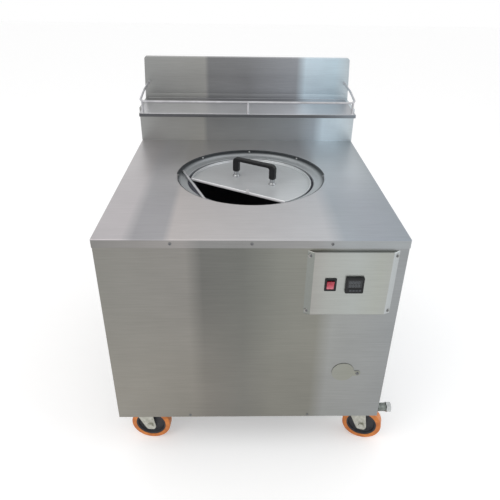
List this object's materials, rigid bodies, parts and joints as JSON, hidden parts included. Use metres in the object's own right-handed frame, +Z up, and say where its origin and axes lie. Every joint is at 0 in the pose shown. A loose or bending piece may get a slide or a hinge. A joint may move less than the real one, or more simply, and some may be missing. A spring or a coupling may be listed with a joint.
{
  "type": "clay tandoor oven",
  "caption": "Gas-fired clay tandoor in a stainless cabinet on swivel castors, with a lid cut straight along one side, a railed rear shelf, splash panel and control panel.",
  "frame": {"origin": "on the floor, at the middle of the outer box", "axes": "+Z up; the control panel and its user are on the -Y side; +X is to that user's right"},
  "size_m": [0.8434, 0.993, 1.059],
  "materials": {
    "cabinet_steel": "satin brushed stainless sheet",
    "ring_steel": "spun stainless, satin",
    "panel_steel": "satin stainless, pressed",
    "lid_steel": "satin stainless, darkened by heat in places",
    "rod_steel": "polished stainless rod",
    "cover_steel": "satin stainless disc",
    "inner_steel": "bare steel sheet",
    "frame_iron": "grey primer on angle iron",
    "screw_steel": "stainless pan heads",
    "zinc": "bright zinc plate",
    "wheel_black": "moulded black nylon",
    "tyre_orange": "orange polyurethane",
    "chrome": "bright chrome",
    "black_plastic": "moulded black plastic",
    "red_rocker": "clear red, lit from behind",
    "display": "dark smoked window",
    "clay": "fired clay, sooted at the rim",
    "firebrick": "fireclay brick",
    "mineral_wool": "loose mineral wool",
    "pipe_iron": "black iron pipe",
    "brass": "dull plated brass",
    "ceramic": "white ceramic"
  },
  "bodies": {
    "cabinet": {"base_frame": "frame_iron", "burner": "inner_steel", "burner_pipe": "pipe_iron", "cabinet_screws": "screw_steel", "cable_gland": "black_plastic", "castor_bolts": "zinc", "castor_plate_front_left": "zinc", "castor_plate_front_right": "zinc", "castor_plate_rear_left": "zinc", "castor_plate_rear_right": "zinc", "clay_pot": "clay", "control_panel": "panel_steel", "control_panel_screws": "screw_steel", "controller_case": "black_plastic", "controller_window": "display", "electrics_box": "inner_steel", "floor_plate": "inner_steel", "front_panel": "cabinet_steel", "gas_inlet_pipe": "pipe_iron", "gas_valve": "pipe_iron", "hearth_bricks": "firebrick", "inlet_union_nut": "brass", "insulation_fill": "mineral_wool", "left_side_panel": "cabinet_steel", "mouth_ring": "ring_steel", "mouth_ring_screws": "screw_steel", "peephole_pivot": "screw_steel", "rear_panel": "cabinet_steel", "rear_riser": "cabinet_steel", "right_side_panel": "cabinet_steel", "shelf": "cabinet_steel", "shelf_rail": "rod_steel", "sight_tube": "inner_steel", "spark_electrode": "ceramic", "splash_panel": "cabinet_steel", "switch_housing": "black_plastic", "table_top": "cabinet_steel", "thermocouple": "inner_steel"},
    "lid": {"lid_pan": "lid_steel", "lid_handle_feet": "chrome", "lid_grip": "black_plastic"},
    "skewer_rest": {"skewer_rest": "rod_steel"},
    "rocker": {"switch_rocker": "red_rocker"},
    "peephole_cover": {"peephole_cover": "cover_steel"},
    "fork_front_left": {"castor_fork_front_left": "zinc", "castor_axle_front_left": "zinc"},
    "wheel_front_left": {"wheel_core_front_left": "wheel_black", "tyre_front_left": "tyre_orange"},
    "fork_front_right": {"castor_fork_front_right": "zinc", "castor_axle_front_right": "zinc"},
    "wheel_front_right": {"wheel_core_front_right": "wheel_black", "tyre_front_right": "tyre_orange"},
    "fork_rear_left": {"castor_fork_rear_left": "zinc", "castor_axle_rear_left": "zinc"},
    "wheel_rear_left": {"wheel_core_rear_left": "wheel_black", "tyre_rear_left": "tyre_orange"},
    "fork_rear_right": {"castor_fork_rear_right": "zinc", "castor_axle_rear_right": "zinc"},
    "wheel_rear_right": {"wheel_core_rear_right": "wheel_black", "tyre_rear_right": "tyre_orange"}
  },
  "joints": [
    {"name": "lid_lift", "type": "slide", "parent": "cabinet", "child": "lid", "axis": [0, 0, 1], "range_m": [0, 0.25]},
    {"name": "rest_lift", "type": "slide", "parent": "cabinet", "child": "skewer_rest", "axis": [0, 0, 1], "range_m": [0, 0.15]},
    {"name": "rocker_press", "type": "hinge", "parent": "cabinet", "child": "rocker", "pos_m": [0.1845, -0.488, 0.654], "axis": [1, 0, 0], "range_deg": [-22, 0]},
    {"name": "peephole_swing", "type": "hinge", "parent": "cabinet", "child": "peephole_cover", "pos_m": [0.2945, -0.48055, 0.336], "axis": [0, 1, 0], "range_deg": [-90, 120]},
    {"name": "swivel_front_left", "type": "hinge", "parent": "cabinet", "child": "fork_front_left", "pos_m": [-0.3675, -0.403, 0.14], "axis": [0, 0, 1], "continuous": true},
    {"name": "roll_front_left", "type": "hinge", "parent": "fork_front_left", "child": "wheel_front_left", "pos_m": [-0.33662, -0.4057, 0.0625], "axis": [0.0872, 0.9962, 0], "continuous": true},
    {"name": "swivel_front_right", "type": "hinge", "parent": "cabinet", "child": "fork_front_right", "pos_m": [0.3265, -0.403, 0.14], "axis": [0, 0, 1], "continuous": true},
    {"name": "roll_front_right", "type": "hinge", "parent": "fork_front_right", "child": "wheel_front_right", "pos_m": [0.35598, -0.41258, 0.0625], "axis": [0.309, 0.9511, 0], "continuous": true},
    {"name": "swivel_rear_left", "type": "hinge", "parent": "cabinet", "child": "fork_rear_left", "pos_m": [-0.3675, 0.396, 0.14], "axis": [0, 0, 1], "continuous": true},
    {"name": "roll_rear_left", "type": "hinge", "parent": "fork_rear_left", "child": "wheel_rear_left", "pos_m": [-0.33707, 0.40192, 0.0625], "axis": [-0.1908, 0.9816, 0], "continuous": true},
    {"name": "swivel_rear_right", "type": "hinge", "parent": "cabinet", "child": "fork_rear_right", "pos_m": [0.3265, 0.396, 0.14], "axis": [0, 0, 1], "continuous": true},
    {"name": "roll_rear_right", "type": "hinge", "parent": "fork_rear_right", "child": "wheel_rear_right", "pos_m": [0.35727, 0.39222, 0.0625], "axis": [0.1219, 0.9925, 0], "continuous": true}
  ]
}
